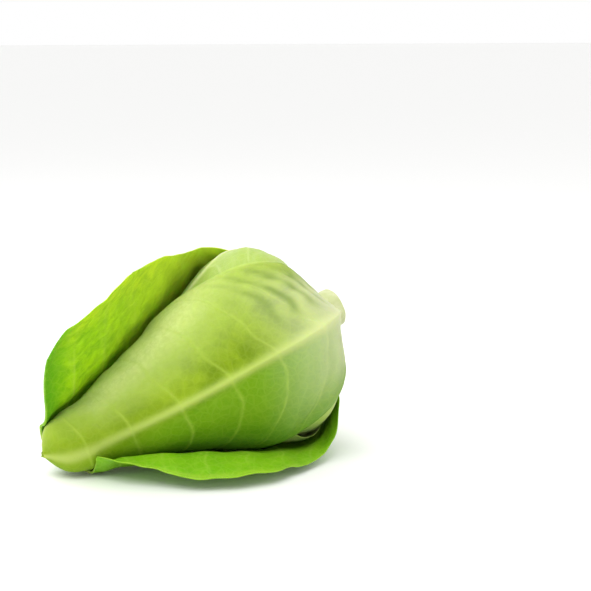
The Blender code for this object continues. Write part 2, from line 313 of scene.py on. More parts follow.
colourMix = {"inputs": (0, 6, 7), "output": 2}  # the sockets of a Mix node that mixes colours


def addNode(tree, kind, values=(), **settings):  # values: pairs of a socket, and a number or another's socket
    made = tree.nodes.new(kind)
    for name, setting in settings.items():
        setattr(made, name, setting)
    for socket, value in values:
        if isinstance(value, bpy.types.NodeSocket):
            tree.links.new(value, made.inputs[socket])
        else:
            made.inputs[socket].default_value = value
    return made


def mixed(tree, factor, first, second):  # two colours mixed
    values = zip(colourMix["inputs"], (factor, first, second))
    return addNode(tree, "ShaderNodeMix", values, data_type="RGBA").outputs[colourMix["output"]]


def sums(tree, operation, *values, clamp=False):
    made = addNode(tree, "ShaderNodeMath", enumerate(values), operation=operation, use_clamp=clamp)
    return made.outputs[0]


def times(tree, first, second, clamp=False):
    return sums(tree, "MULTIPLY", first, second, clamp=clamp)


def between(tree, value, low, high, out=(0.0, 1.0)):  # brought smoothly from low..high to the out range
    values = enumerate((value, low, high, *out))
    return addNode(tree, "ShaderNodeMapRange", values, interpolation_type="SMOOTHSTEP").outputs[0]


def attribute(tree, name):
    return addNode(tree, "ShaderNodeAttribute", attribute_name=name).outputs["Fac"]


def newMaskGroup(name, *numbers):  # a group that reads a place and these numbers, and puts out a mask
    group = bpy.data.node_groups.new(name, "ShaderNodeTree")
    group.interface.new_socket("place", in_out="INPUT", socket_type="NodeSocketVector")
    for number in numbers:
        group.interface.new_socket(number, in_out="INPUT", socket_type="NodeSocketFloat")
    group.interface.new_socket("mask", in_out="OUTPUT", socket_type="NodeSocketFloat")
    given, result = group.nodes.new("NodeGroupInput"), group.nodes.new("NodeGroupOutput")
    return group, given.outputs, result.inputs["mask"]


netShape = {
    "wanderScale": 220.0,  # its veins are not straight
    "wander": (0.0016, 0.0016, 0.0016),
    "finer": 2.6,  # small cells inside the large ones
    "wide": 0.16,
    "thin": 0.20,
    "thinAmount": 0.5,
}


def makeVeinNet():  # the fine net of veins between the side veins: 1 on a vein, 0 between
    group, given, mask = newMaskGroup("veinNet", "cell")
    frequency = sums(group, "DIVIDE", 1.0, given["cell"])
    values = (("Vector", given["place"]), ("Scale", netShape["wanderScale"]), ("Detail", 2.0))
    wander = addNode(group, "ShaderNodeTexNoise", values).outputs["Color"]
    values = enumerate((wander, netShape["wander"]))
    bent = addNode(group, "ShaderNodeVectorMath", values, operation="MULTIPLY").outputs[0]
    place = addNode(group, "ShaderNodeVectorMath", enumerate((given["place"], bent))).outputs[0]
    finer = times(group, frequency, netShape["finer"])
    wideCells, thinCells = [addNode(group, "ShaderNodeTexVoronoi", (("Vector", place), ("Scale", scale)),
                                    feature="DISTANCE_TO_EDGE").outputs[0] for scale in (frequency, finer)]
    wide = between(group, wideCells, 0.0, netShape["wide"], (1.0, 0.0))
    thin = between(group, thinCells, 0.0, netShape["thin"], (netShape["thinAmount"], 0.0))
    group.links.new(sums(group, "MAXIMUM", wide, thin), mask)
    return group


def makeMottle():  # soft uneven patches, from 0 to 1
    group, given, mask = newMaskGroup("mottle", "size", "contrast")
    frequency = sums(group, "DIVIDE", 1.0, given["size"])
    values = (("Vector", given["place"]), ("Scale", frequency), ("Detail", 4.0), ("Roughness", 0.55),
              ("Distortion", 0.6))
    uneven = addNode(group, "ShaderNodeTexNoise", values).outputs["Fac"]
    pushed = times(group, sums(group, "SUBTRACT", uneven, 0.5), given["contrast"])
    group.links.new(sums(group, "ADD", pushed, 0.5, clamp=True), mask)
    return group


veinNet = makeVeinNet()
mottle = makeMottle()


def masked(tree, group, place, **numbers):
    values = (("place", place), *numbers.items())
    return addNode(tree, "ShaderNodeGroup", values, node_tree=group).outputs["mask"]


def newMaterial(name):
    made = bpy.data.materials.new(name)
    made.use_nodes = True
    return made, made.node_tree, made.node_tree.nodes["Principled BSDF"].inputs


def addBump(tree, inputs, height, strength, distance):
    values = (("Height", height), ("Strength", strength), ("Distance", distance))
    tree.links.new(addNode(tree, "ShaderNodeBump", values).outputs[0], inputs["Normal"])


paintShare = 0.8  # the light is a little over full, so all colours are taken down


def lit(red, green, blue):  # a screen colour, 0 to 255, as the linear values that a shader takes
    linear = (((c / 255 + 0.055) / 1.055) ** 2.4 if c > 10 else c / 255 / 12.92 for c in (red, green, blue))
    return (*(paintShare * value for value in linear), 1.0)


leafLook = {  # what most leaves share, in the shade of the tight inner ones
    "blade": lit(176, 202, 84), "patch": lit(158, 190, 58), "patchSize": 0.022, "patchContrast": 2.2,
    # Paler away from the midrib in two steps: first partly the blade's own paler tone and partly painted
    # light, then a painted highlight on the band along the top. Along the edge, a painted rim highlight.
    # Share is where along the leaf each comes up from its low to its amount.
    "paleAndLit": lit(205, 221, 130), "paleAndLitFrom": (0.12, 0.50), "paleAndLitShare": (0.20, 0.60), "paleAndLitLow": 0.5,
    "paleAndLitAmount": 0.5,
    "crownHighlight": lit(205, 221, 130), "crownHighlightFrom": (0.22, 0.50), "crownHighlightShare": (0.30, 0.56), "crownHighlightLow": 0.0,
    "crownHighlightAmount": 0.0,
    "rimHighlight": lit(204, 226, 120), "rimHighlightFrom": (0.945, 0.985), "rimHighlightShare": (0.36, 0.62), "rimHighlightLow": 0.25,
    "rimHighlightAmount": 0.5,
    # the half below the midrib, painted darker as shade where it turns under, and darker still towards the
    # floor side
    "shadedLowHalf": lit(140, 178, 40), "shadedLowEdge": lit(140, 178, 40), "shadedLowEdgeFrom": (0.12, 0.45),
    "shadedLowHalfTo": (0.44, 0.52), "shadedLowHalfAmount": 0.0,
    "tip": lit(176, 202, 84), "tipFrom": (0.62, 0.98), "tipAmount": 0.0,
    "speck": lit(196, 214, 112), "speckSize": 0.004, "speckContrast": 3.0, "speckAmount": 0.18,
    "vein": lit(205, 222, 132), "veinAmount": 0.8, "netCell": 0.006, "netAmount": 0.16,
    "rib": lit(220, 228, 158), "ribAmount": 1.0,
    "foot": lit(226, 230, 172), "footReach": 0.14, "footAmount": 0.9, "footWide": (0.45, 0.95),
    "footSpread": 0.15,
    "fan": lit(132, 160, 64), "fanAmount": 0.18,
    "roughness": 0.45, "speckRoughness": 0.14, "bump": 0.5, "bumpDepth": 0.00025, "netRelief": 0.7,
    "poreScale": 1400.0, "poreRelief": 0.35, "sheen": 0.08, "sheenRoughness": 0.6, "specular": 0.3,
    # light shines a little way through the blades
    "through": 0.35, "throughColours": (0.55, 1.0, 0.08), "throughDepth": 0.0016,
}
frontLook = {
    **leafLook,
    "blade": lit(112, 142, 0), "patch": lit(154, 182, 30), "patchSize": 0.024, "patchContrast": 3.4,
    # paler away from the midrib: the blade's own paler tone with painted light over it
    "paleAndLit": lit(200, 220, 118), "paleAndLitFrom": (0.05, 0.36), "paleAndLitLow": 0.28, "paleAndLitAmount": 0.95,
    # a painted highlight on the band along the top of the lying head
    "crownHighlight": lit(248, 255, 176), "crownHighlightFrom": (0.24, 0.46), "crownHighlightAmount": 1.0,
    # a painted highlight along the edge
    "rimHighlight": lit(214, 238, 130), "rimHighlightLow": 0.4, "rimHighlightAmount": 0.8,
    # painted shade on the half below the midrib, darker towards the floor
    "shadedLowHalf": lit(108, 158, 0), "shadedLowEdge": lit(70, 132, 0), "shadedLowHalfAmount": 0.95,
    "tip": lit(150, 180, 24), "tipAmount": 0.6,
    "speck": lit(140, 172, 20),
    "vein": lit(186, 210, 84), "veinAmount": 0.45, "netAmount": 0.12,
    "rib": lit(192, 210, 104), "ribAmount": 0.85,
    "foot": lit(246, 246, 208), "footReach": 0.44,
    "fan": lit(106, 136, 44), "fanAmount": 0.62,
    "roughness": 0.5, "sheen": 0.0, "specular": 0.12,
}
upperLook = {
    **leafLook,
    "blade": lit(122, 196, 0), "patch": lit(178, 224, 0), "patchSize": 0.018, "patchContrast": 5.0,
    "paleAndLit": lit(188, 238, 0), "paleAndLitFrom": (0.10, 0.50), "paleAndLitLow": 0.8, "paleAndLitAmount": 0.8,
    # a painted highlight along its top edge
    "rimHighlight": lit(214, 240, 10), "rimHighlightFrom": (0.74, 0.96), "rimHighlightLow": 0.4, "rimHighlightAmount": 0.8,
    # darker at its tip, which stands low by the floor: painted shade
    "tip": lit(72, 164, 8), "tipFrom": (0.89, 1.0), "tipAmount": 0.9,
    "speck": lit(96, 172, 0), "speckSize": 0.009, "speckAmount": 0.7,
    "vein": lit(196, 228, 84), "veinAmount": 0.6, "netCell": 0.007,
    "rib": lit(196, 216, 108),
    "foot": lit(232, 244, 76), "footReach": 0.95, "footSpread": 0.9,
    "sheen": 0.0, "specular": 0.14,
}
lowerLook = {
    **leafLook,
    "blade": lit(108, 174, 4), "patch": lit(134, 194, 8), "patchSize": 0.026, "patchContrast": 3.0,
    "paleAndLit": lit(128, 190, 8), "paleAndLitFrom": (0.15, 0.60), "paleAndLitAmount": 0.4,
    # a painted highlight along the edge
    "rimHighlight": lit(170, 206, 56),
    "speck": lit(98, 164, 6),
    "vein": lit(188, 220, 92), "veinAmount": 0.65, "netCell": 0.007,
    "rib": lit(196, 214, 112),
    "sheen": 0.0, "specular": 0.18,
}


def leafMasks(tree, look, place):  # what the colour of a leaf follows
    masks = {name: attribute(tree, name) for name in ("share", "vein", "rib", "fan", "turned")}
    mapped = addNode(tree, "ShaderNodeTexCoord").outputs["UV"]
    masks["across"] = addNode(tree, "ShaderNodeSeparateXYZ", ((0, mapped),)).outputs["X"]
    fromMiddle = sums(tree, "MULTIPLY_ADD", masks["across"], 2.0, -1.0)
    masks["fromMidrib"] = sums(tree, "ABSOLUTE", fromMiddle)
    masks["patches"] = masked(tree, mottle, place, size=look["patchSize"], contrast=look["patchContrast"])
    masks["specks"] = masked(tree, mottle, place, size=look["speckSize"], contrast=look["speckContrast"])
    masks["net"] = masked(tree, veinNet, place, cell=look["netCell"])
    return masks


def paintBlade(tree, look, masks):
    blade = mixed(tree, masks["patches"], look["blade"], look["patch"])
    # paler away from the midrib, partly own tone and partly painted light; then a painted highlight on the
    # top band and a painted rim highlight along the edge
    for part, measure in (("paleAndLit", "turned"), ("crownHighlight", "turned"), ("rimHighlight", "fromMidrib")):
        reach = between(tree, masks[measure], *look[part + "From"])
        amounts = (look[part + "Low"], look[part + "Amount"])
        amount = between(tree, masks["share"], *look[part + "Share"], amounts)
        blade = mixed(tree, times(tree, reach, amount), blade, look[part])
    # painted shade on the half below the midrib, darker further round towards the floor
    below = between(tree, masks["across"], *look["shadedLowHalfTo"], (look["shadedLowHalfAmount"], 0.0))
    edge = between(tree, masks["turned"], *look["shadedLowEdgeFrom"])
    blade = mixed(tree, below, blade, mixed(tree, edge, look["shadedLowHalf"], look["shadedLowEdge"]))
    # towards the tip: the front leaf's own tint, and painted shade on the upper outer leaf
    tip = between(tree, masks["share"], *look["tipFrom"], (0.0, look["tipAmount"]))
    blade = mixed(tree, tip, blade, look["tip"])
    blade = mixed(tree, times(tree, masks["specks"], look["speckAmount"]), blade, look["speck"])
    return mixed(tree, times(tree, masks["net"], look["netAmount"]), blade, look["vein"])


def paintVeins(tree, look, masks, colour):  # side veins, midrib, whitish foot, and the dark stripes above it
    colour = mixed(tree, times(tree, masks["vein"], look["veinAmount"], clamp=True), colour, look["vein"])
    colour = mixed(tree, times(tree, masks["rib"], look["ribAmount"], clamp=True), colour, look["rib"])
    low = between(tree, masks["share"], 0.0, look["footReach"], (look["footAmount"], 0.0))
    middle = between(tree, masks["fromMidrib"], *look["footWide"], (1.0, look["footSpread"]))
    colour = mixed(tree, times(tree, low, middle), colour, look["foot"])
    return mixed(tree, times(tree, masks["fan"], look["fanAmount"]), colour, look["fan"])


def makeLeafMaterial(name, look):
    made, tree, inputs = newMaterial(name)
    place = addNode(tree, "ShaderNodeTexCoord").outputs["Object"]
    masks = leafMasks(tree, look, place)
    tree.links.new(paintVeins(tree, look, masks, paintBlade(tree, look, masks)), inputs["Base Color"])
    roughness = sums(tree, "MULTIPLY_ADD", masks["specks"], look["speckRoughness"], look["roughness"])
    tree.links.new(roughness, inputs["Roughness"])
    values = (("Vector", place), ("Scale", look["poreScale"]), ("Detail", 3.0))
    pores = addNode(tree, "ShaderNodeTexNoise", values).outputs["Fac"]
    raised = times(tree, masks["net"], look["netRelief"])
    raised = sums(tree, "ADD", raised, times(tree, pores, look["poreRelief"]))
    addBump(tree, inputs, raised, look["bump"], look["bumpDepth"])
    inputs["Sheen Weight"].default_value = look["sheen"]
    inputs["Sheen Roughness"].default_value = look["sheenRoughness"]
    inputs["Specular IOR Level"].default_value = look["specular"]
    inputs["Subsurface Weight"].default_value = look["through"]
    inputs["Subsurface Radius"].default_value = look["throughColours"]
    inputs["Subsurface Scale"].default_value = look["throughDepth"]
    return made


# A leaf's settings. Pairs are for its two halves, the first on the side of lower turns.

tightLeaf = {  # an inner leaf, close to the head
    "foot": 0.012,  # half its width at the stalk
    "rib": 0.0010,  # how far the midrib stands out
    "keel": 0.0,  # how far its middle stands off the head
    "wave": 0.0,
    "open": (False, False), "curve": (0, 0),  # which half stands off the head, and how sharply it bends
    "halves": (1, 1), "ends": (0.5, 0.5),  # each half's width, and its end from 0, pointed, to 1, blunt
    "rows": 120, "columns": 84,
    "blister": 0.00018, "puff": 0.0003, "ragged": 0.010, "edgeWave": 0.0,
    "slot": "inner_leaf", "look": leafLook,
}
leaves = {
    "inner_leaf_1": {**tightLeaf, "turn": 103.0, "lean": 10, "halfWidth": 0.100, "reach": 0.90},
    "inner_leaf_2": {**tightLeaf, "turn": -119.5, "lean": -8, "halfWidth": 0.100, "reach": 0.93},
    "inner_leaf_3": {
        **tightLeaf, "turn": 18.0, "lean": 6, "halfWidth": 0.104, "reach": 0.92,
        "foot": 0.013, "rib": 0.0014,
    },
    "inner_leaf_4": {
        **tightLeaf, "turn": 155.5, "lean": 8, "halfWidth": 0.108, "reach": 0.94,
        "foot": 0.013, "rib": 0.0022,
    },
    "front_leaf": {
        **tightLeaf, "turn": -71.0, "lean": -37, "halfWidth": 0.116, "reach": 1.0,
        "foot": 0.015, "rib": 0.0056, "keel": 0.006,
        "rows": 280, "columns": 168, "blister": 0.00034, "puff": 0.0010,
        "slot": "front_leaf", "look": frontLook,
    },
    "upper_outer_leaf": {
        **tightLeaf, "turn": 70.5, "lean": 4, "halfWidth": 0.100, "reach": 0.97,
        "foot": 0.016, "rib": 0.0056, "wave": 0.001,
        "open": (True, False), "curve": (4.5, 0), "halves": (1.06, 0.65), "ends": (1, 0),
        "rows": 240, "columns": 168, "blister": 0.00045, "puff": 0.0011, "edgeWave": 0.0007,
        "slot": "outer_leaf", "look": upperLook,
    },
    "lower_outer_leaf": {
        **tightLeaf, "turn": -178.0, "lean": -2, "halfWidth": 0.088, "reach": 0.90,
        "foot": 0.016, "rib": 0.0040, "wave": 0.002,
        "open": (True, True), "curve": (-4.6, -4.0), "ends": (0.1, 0.35),
        "rows": 240, "columns": 168, "blister": 0.00040, "puff": 0.0009, "ragged": 0.014, "edgeWave": 0.0008,
        "slot": "outer_leaf", "look": lowerLook,
    },
}

midrib = {
    "lowering": 1.2,  # its height falls off to the tip, and its width faster
    "narrowing": 2.2,
    "least": 0.0006,
    "tipWidth": 0.0022,
    "footWidth": 0.55,
    "crest": 0.16,  # the narrow crest, by the midrib's height
    "crestWidth": 0.0030,
    "crestNarrows": 0.55,
    "crestLowers": 0.8,
    "skirt": 0.8,  # taken from the foot on both sides of the crest
    "skirtWidth": 2.5,
    "paintTip": 0.0013,
    "paintFoot": 0.38,
    "paintNarrows": 1.7,
    "paintEdge": 2.5,
}


def leafWall(leaf, along, across):  # thickness of the blade and its midrib
    left = np.maximum(1 - along, 0)
    height = leaf["rib"] * left ** midrib["lowering"] + midrib["least"] * (1 - along)
    widening = midrib["footWidth"] * leaf["foot"] - midrib["tipWidth"]
    width = midrib["tipWidth"] + widening * left ** midrib["narrowing"]
    return leafShape["blade"] + height * np.exp(-((across / width) ** 2))


def ribCrest(leaf, along, across):  # the narrow crest along the midrib, taken from its broad foot
    width = midrib["crestWidth"] * (1 - midrib["crestNarrows"] * along)
    height = midrib["crest"] * leaf["rib"] * np.maximum(1 - along, 0) ** midrib["crestLowers"]
    skirt = midrib["skirt"] * np.exp(-((across / width / midrib["skirtWidth"]) ** 2))
    return height * (np.exp(-((across / width) ** 2)) - skirt)


def ribMask(leaf, along, across):  # 1 on the midrib, 0 beside it
    widening = midrib["paintFoot"] * leaf["foot"] - midrib["paintTip"]
    width = midrib["paintTip"] + widening * np.maximum(1 - along, 0) ** midrib["paintNarrows"]
    return np.exp(-(np.abs(across / width) ** midrib["paintEdge"]))


def coarseLeaf(leaf, beneath):  # the same sheet as the CAD node's, laid over what lies beneath
    rowKnots = np.linspace(0, 1, coarse["rows"] + 1)
    rows = rowKnots[:, None]
    rows = 0.5 * rows + 0.5 * smoothStep(rows)
    columnKnots = np.array([-c for c in coarse["columns"][::-1]] + [0.0] + list(coarse["columns"]))
    columns = columnKnots[None, :]
    along, across = leafPlaces(leaf, rows, columns)
    points = layOver(freeBlade(leaf, along, across, columns + 0 * rows), beneath)
    if all(leaf["open"]):
        points = layOver(settled(points, leafWall(leaf, along, across)), beneath)
    return np.dstack((points, along, across)), rowKnots, columnKnots


fine = {  # the grid of a finished blade
    "bunches": 20,  # rows lie closer together on the side veins and halfway between them
    "bunching": 0.35,
    "columnMix": (0.45, 0.55),  # and columns closer together at the midrib
    "wander": 0.010,  # how far side veins stray
    "wanderSize": 0.22,
    "wanderFrom": 0.3,
    "stagger": 0.014,  # and how far they shift, the other way on the other half
    "staggerFrom": 0.15,
    "easeOver": 0.12,  # neither moves the foot or the tip
    "raggedSize": 0.05,
    "raggedFrom": 0.6,
    "raggedOver": 0.4,
    "marginFrom": 0.70,  # the thin outer part of the blade
    "marginOver": 0.30,
    "marginStart": 0.2,
    "marginThinner": 0.55,
    "leastRadius": 0.010,
    "clear": 0.5 * head["gap"],  # of the finished leaves beneath
    "easyRounds": 5,
}


def gridPlaces(leaf):
    rows = np.linspace(0, 1, leaf["rows"] + 1)[:, None]
    bunches = 2 * math.pi * fine["bunches"]
    rows = rows - fine["bunching"] / bunches * np.sin(bunches * rows)
    columns = np.linspace(-1, 1, leaf["columns"] + 1)[None, :]
    columns = np.sign(columns) * (fine["columnMix"][0] * np.abs(columns) + fine["columnMix"][1] * columns**2)
    return rows, columns


def strayedPlaces(leaf, rows, columns, strip, seed):  # the same with side veins strayed and edges ragged
    spread = np.abs(columns)
    wander = fine["wander"] * noisy(strip, fine["wanderSize"], seed) * smoothStep(spread / fine["wanderFrom"])
    stagger = fine["stagger"] * smoothStep(spread / fine["staggerFrom"]) * np.sign(columns)
    ease = smoothStep(rows / fine["easeOver"]) * smoothStep((1 - rows) / fine["easeOver"])
    rowPlaces = np.clip(rows + (wander + stagger) * ease, 0, 1)
    edges = strip * (1, 0, 0) + np.sign(strip) * (0, 5, 0)  # each edge has its own cuts
    ragged = leaf["ragged"] * (0.5 + noisy(edges, fine["raggedSize"], seed))
    return rowPlaces, columns * (1 - ragged * smoothStep((spread - fine["raggedFrom"]) / fine["raggedOver"]))


def clearOf(points, trees):  # lifts what dips into the finished leaves beneath
    share, turn, height = [np.array(part) for part in zip(*(headPlace(row) for row in points))]
    short = np.zeros_like(height)
    for tree in trees:
        short = np.maximum(short, outermost(share, turn, tree) + fine["clear"] - height)
    lift = short
    for _ in range(fine["easyRounds"]):
        lift = np.maximum(neighbourMean(lift), short)
    return points + lift[..., None] * onHead(outward, share, turn)


veins = {
    "spacing": 0.1,
    "height": 0.0006,
    "width": 0.0036,
    "thinner": 0.8,  # the veins between the main ones, and the forks, by the main ones' width
    "lesser": 0.40,
    "lesserUpTo": 0.55,
    "lesserOver": 0.2,
    "fork": 0.034,
    "forkFrom": 0.35,
    "forkOver": 0.65,
    "forkBend": 0.8,
    "forkAmount": 0.6,
    "forkStart": 0.15,
    "fade": 0.6,  # towards the edge
    "uneven": (0.75, 0.6),
    "unevenSize": 0.12,
}


def sideVeins(rows, columns, strip, seed):  # 1 along a main side vein, less along the others, 0 between
    spacing, width, thinner = veins["spacing"], veins["width"], veins["thinner"]
    nearest = np.round(rows / spacing) * spacing
    main = np.exp(-(((rows - nearest) / width) ** 2)) * (nearest > 0.5 * spacing)
    halfway = (np.floor(rows / spacing) + 0.5) * spacing
    lesser = np.exp(-(((rows - halfway) / width / thinner) ** 2))
    lesser = lesser * smoothStep((veins["lesserUpTo"] - rows) / veins["lesserOver"])
    outer = np.clip((np.abs(columns) - veins["forkFrom"]) / veins["forkOver"], 0, 1)
    forked = (rows - veins["fork"] * outer ** veins["forkBend"]) / spacing
    branch = np.exp(-(((forked - np.round(forked)) * spacing / width / thinner) ** 2))
    branch = veins["forkAmount"] * branch * smoothStep(outer / veins["forkStart"]) * (np.round(forked) > 0.5)
    side = np.maximum(main, branch) + veins["lesser"] * lesser
    uneven = veins["uneven"][0] + veins["uneven"][1] * noisy(strip, veins["unevenSize"], seed + 9)
    return side * np.maximum(1 - np.abs(columns), 0) ** veins["fade"] * uneven


bulges = {
    "blisterSizes": (0.011, 0.028),
    "puffSize": 0.030,  # puffs between the side veins, uneven
    "puffRound": 0.7,
    "puffFrom": 0.08,
    "puffOver": 0.15,
    "puffMix": (0.7, 0.9),
    "flatMiddle": 0.1,  # none of it at the midrib and the foot
    "edgeSize": 0.010,
}


def bladeRelief(leaf, points, rows, columns, margin, seed):  # blisters, puffs, and waves along the edge
    blisters = [leaf["blister"] * noisy(points, size, seed) for size in bulges["blisterSizes"]]
    swell = (0.5 - 0.5 * np.cos(2 * math.pi * rows / veins["spacing"])) ** bulges["puffRound"]
    swell = swell * smoothStep((rows - bulges["puffFrom"]) / bulges["puffOver"])
    uneven = bulges["puffMix"][0] + bulges["puffMix"][1] * noisy(points, bulges["puffSize"], seed + 2)
    raised = blisters[0] + blisters[1] + leaf["puff"] * swell * uneven
    raised = raised * smoothStep(np.abs(columns) / bulges["flatMiddle"]) * (1 - margin)
    raised = raised * smoothStep(rows / bulges["flatMiddle"])
    return raised + leaf["edgeWave"] * margin * noisy(points, bulges["edgeSize"], seed + 3)


stripes = {  # close furrows above the foot, with a ridge between one and the next
    "step": 0.046,
    "from": 0.12,
    "fromOver": 0.08,
    "to": 0.50,
    "toOver": 0.12,
    "inside": 0.08,  # from the midrib
    "insideOver": 0.16,
    "outside": 0.95,
    "outsideOver": 0.4,
    "otherHalf": 0.3,
    "fadeMix": (0.8, 0.7),
    "fadeSize": 0.12,
    "least": 0.2,
    "bend": 0.020,
    "bendSize": 0.16,
    "furrow": 1.6,
    "ridge": 3,
    "height": 0.00040,
}


def footStripes(rows, columns, strip, rib, seed):
    spread = np.abs(columns)
    fade = smoothStep((stripes["to"] - rows) / stripes["toOver"])
    fade = fade * smoothStep((rows - stripes["from"]) / stripes["fromOver"])
    beside = smoothStep((spread - stripes["inside"]) / stripes["insideOver"])
    fade = fade * beside * smoothStep((stripes["outside"] - spread) / stripes["outsideOver"])
    uneven = stripes["fadeMix"][0] + stripes["fadeMix"][1] * noisy(strip, stripes["fadeSize"], seed + 7)
    fade = fade * np.clip(uneven, stripes["least"], 1) * np.where(columns < 0, stripes["otherHalf"], 1)
    bent = rows + stripes["bend"] * noisy(strip, stripes["bendSize"], seed + 5)
    swing = np.cos(2 * math.pi * bent / stripes["step"])
    furrows = (0.5 - 0.5 * swing) ** stripes["furrow"] * fade * (1 - rib)
    ridges = (0.5 + 0.5 * swing) ** stripes["ridge"] * fade * (1 - rib)
    return furrows, ridges


def addLayer(piece, name, values):
    piece.data.attributes.new(name, "FLOAT", "POINT").data.foreach_set("value", values)


def thickenBlade(piece, wall):
    group = piece.vertex_groups.new(name="wall")
    thickest = wall.max()
    for index, thickness in enumerate(wall.ravel()):
        group.add([index], float(thickness / thickest), "REPLACE")
    thicken = piece.modifiers.new("wall", "SOLIDIFY")
    thicken.thickness = thickest
    thicken.offset = 1.0
    thicken.vertex_group = "wall"
    bpy.ops.object.modifier_apply(modifier="wall")


def pressFlat(piece):  # on the floor, where it rests
    places = np.empty(len(piece.data.vertices) * 3)
    piece.data.vertices.foreach_get("co", places)
    places[2::3] = np.maximum(places[2::3], 0)
    piece.data.vertices.foreach_set("co", places)
    piece.data.update()


def makeLeaf(name, leaf, beneath, finished):
    rows, columns = gridPlaces(leaf)
    strip = np.dstack((rows + 0 * columns, columns + 0 * rows, 0 * rows * columns))
    seed = 10.0 * leaf["turn"]
    surface = refined(*coarseLeaf(leaf, beneath), *strayedPlaces(leaf, rows, columns, strip, seed))
    points, along, across = surface[..., :3], surface[..., 3], surface[..., 4]
    margin = smoothStep((np.abs(columns) - fine["marginFrom"]) / fine["marginOver"])
    margin = margin * smoothStep(rows / fine["marginStart"])
    raised = bladeRelief(leaf, points, rows, columns, margin, seed)
    points = clearOf(points + raised[..., None] * sheetNormals(points), finished)

    side = sideVeins(rows, columns, strip, seed)
    rib = ribMask(leaf, along, across)
    furrows, ridges = footStripes(rows, columns, strip, rib, seed)
    wall = leafWall(leaf, along, across) + ribCrest(leaf, along, across) + veins["height"] * side
    wall = wall * (1 - fine["marginThinner"] * margin) + stripes["height"] * ridges
    radius = np.maximum(sampled(outline, np.minimum(leaf["reach"] * along, 1))[1], fine["leastRadius"])
    turned = np.abs(across) / (math.pi * radius)  # how far round the head, in half turns

    bpy.ops.object.select_all(action="DESELECT")
    bpy.ops.mesh.primitive_grid_add(x_subdivisions=leaf["columns"], y_subdivisions=leaf["rows"], size=1.0)
    piece = bpy.context.object
    piece.name = piece.data.name = name + "_blade"
    lying = np.array(upright)
    placed = points.reshape(-1, 3) @ lying[:3, :3].T + lying[:3, 3]
    piece.data.vertices.foreach_set("co", placed.ravel())
    layers = {"share": along, "vein": side, "rib": rib, "fan": furrows, "turned": turned}
    for layerName, values in layers.items():
        addLayer(piece, layerName, values.ravel())
    thickenBlade(piece, wall)
    pressFlat(piece)
    bpy.ops.object.shade_smooth()
    piece.data.materials.append(makeLeafMaterial(name, leaf["look"]))
    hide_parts(name)
    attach(piece, "root")
    print(name, "done:", len(piece.data.polygons), "faces")
    return piece


heart = {
    "segments": 96,
    "rings": 60,
    "closeBy": 0.02,  # its base closes within this share of the outline
    "lobes": 5,
    "lobeDepth": 0.012,
    "lobeTwist": 20,
    "raise": 0.0001,
    "layers": {"share": 0.5, "vein": 0.0, "rib": 0.0, "fan": 0.0, "turned": 0.3},  # blade all over
}


def makeHeart():
    bpy.ops.object.select_all(action="DESELECT")
    bpy.ops.mesh.primitive_uv_sphere_add(segments=heart["segments"], ring_count=heart["rings"], radius=1.0)
    piece = bpy.context.object
    piece.name = piece.data.name = "heart_core"
    for vert in piece.data.vertices:
        share = float(np.clip(1 - math.acos(max(-1.0, min(1.0, vert.co.z))) / math.pi, 0, 1))
        turn = math.atan2(vert.co.y, vert.co.x)
        up, out = sampled(outline, share)
        lobes = 1 + heart["lobeDepth"] * math.sin(heart["lobes"] * turn + heart["lobeTwist"] * share)
        out = out * min(1.0, share / heart["closeBy"]) * lobes
        vert.co = upright @ Vector((out * math.cos(turn), out * math.sin(turn), up + heart["raise"]))
    bpy.ops.object.shade_smooth()
    for layerName, value in heart["layers"].items():
        addLayer(piece, layerName, np.full(len(piece.data.vertices), value))
    piece.data.materials.append(makeLeafMaterial("heart", leafLook))
    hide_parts("heart")
    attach(piece, "root")
    return piece


stalk = {
    "radius": 0.0138,
    "cut": 0.028,  # how far the stump stands out of the head
    "coreLength": 0.098,
    "segments": 72,
    "rings": 48,
    "insets": (0.0006, 0.0010, 0.0020, 0.0020, 0.0020, 0.0022, 0.0020, 0.0012),  # across the cut face
    "taper": ((-0.028, 0.985), (-0.024, 1.0), (-0.006, 0.99), (-0.002, 0.86), (0.002, 0.855), (0.0935, 0.22),
              (0.098, 0.02)),  # height, share of the radius
    "dish": 0.0007,  # the cut face is a little hollow and uneven
    "dishRadius": 0.0132,
    "dishOver": 0.004,
    "dishUneven": 0.4,
    "dishNoise": 300,
    "lip": 0.0004,
    "lipFrom": 0.0135,
    "scars": 0.020,  # of cut leaves, round the stump
    "scarLobes": 6,
    "scarTwist": 260,
    "scarNoise": 160,
    "smoothUnder": math.radians(50),
}
stalkLook = {
    "skin": lit(196, 206, 140), "skinPatch": lit(222, 226, 178), "patchSize": 0.008, "patchContrast": 2.4,
    "bark": lit(176, 160, 104), "pith": lit(214, 206, 160), "barkTo": (0.10, 0.25),  # on the cut face
    "ring": lit(176, 178, 112), "ringFrom": (0.22, 0.30), "ringTo": (0.38, 0.46), "ringAmount": 0.6,
    "speck": lit(232, 228, 196), "speckSize": 0.0016, "speckContrast": 3.0, "speckAmount": 0.35,
    "faceFrom": (0.01, 0.06), "roughness": 0.55, "bump": 0.5, "bumpDepth": 0.0003,
}


